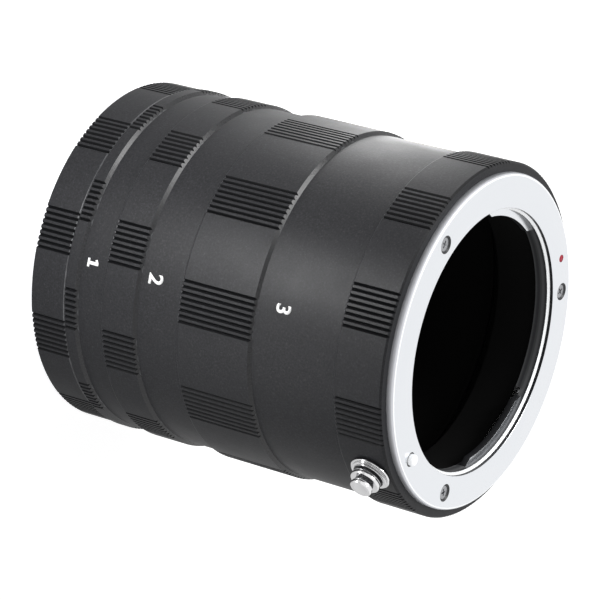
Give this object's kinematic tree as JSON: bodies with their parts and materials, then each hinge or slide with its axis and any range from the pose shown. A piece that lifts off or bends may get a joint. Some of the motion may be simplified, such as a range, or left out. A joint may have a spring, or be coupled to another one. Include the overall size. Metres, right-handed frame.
{
  "type": "macro extension tube",
  "caption": "Set of screwed-together extension tubes with a camera bayonet below, a lens bayonet above, and a lock with a release button.",
  "frame": {"origin": "middle of the camera-side seating face", "axes": "+Z along the optical axis towards the lens; the release button is at 325.5 degrees about +Z from +X"},
  "size_m": [0.0548, 0.0548, 0.0701],
  "materials": {
    "black_aluminium": "black anodised, fine satin",
    "chromed_brass": "turned and chrome plated",
    "screw_steel": "bright",
    "spring_steel": "bright",
    "slide_brass": "milled",
    "red_paint": "gloss",
    "white_print": "printed numbers, matt"
  },
  "bodies": {
    "camera_mount": {"camera_ring": "black_aluminium", "camera_bayonet": "chromed_brass", "camera_bayonet_screws": "screw_steel"},
    "first_tube": {"tube_1": "black_aluminium"},
    "second_tube": {"tube_2": "black_aluminium"},
    "third_tube": {"tube_3": "black_aluminium"},
    "lens_mount": {"lens_ring": "black_aluminium", "lens_bayonet": "chromed_brass", "lens_bayonet_screws": "screw_steel", "index_dot": "red_paint", "leaf_spring_1": "spring_steel", "leaf_spring_2": "spring_steel", "leaf_spring_3": "spring_steel", "leaf_spring_rivets": "screw_steel", "stop_pin": "screw_steel", "lock_spring": "spring_steel"},
    "lock": {"lock_slide": "slide_brass", "lock_pin": "screw_steel", "knob_stem": "screw_steel", "slot_washer": "chromed_brass", "release_knob": "chromed_brass"}
  },
  "joints": [
    {"name": "thread_1", "type": "hinge", "parent": "camera_mount", "child": "first_tube", "pos_m": [0, 0, 0.0066], "axis": [0, 0, 1], "range_deg": [0, 1530]},
    {"name": "thread_2", "type": "hinge", "parent": "first_tube", "child": "second_tube", "pos_m": [0, 0, 0.0136], "axis": [0, 0, 1], "range_deg": [0, 1530]},
    {"name": "thread_3", "type": "hinge", "parent": "second_tube", "child": "third_tube", "pos_m": [0, 0, 0.0276], "axis": [0, 0, 1], "range_deg": [0, 1530]},
    {"name": "thread_4", "type": "hinge", "parent": "third_tube", "child": "lens_mount", "pos_m": [0, 0, 0.0556], "axis": [0, 0, 1], "range_deg": [0, 1530]},
    {"name": "release", "type": "slide", "parent": "lens_mount", "child": "lock", "axis": [0, 0, 1], "range_m": [-0.002, 0], "stiffness_N_per_m": 300, "springref_m": 0.002, "deforming": ["lock_spring"]}
  ]
}
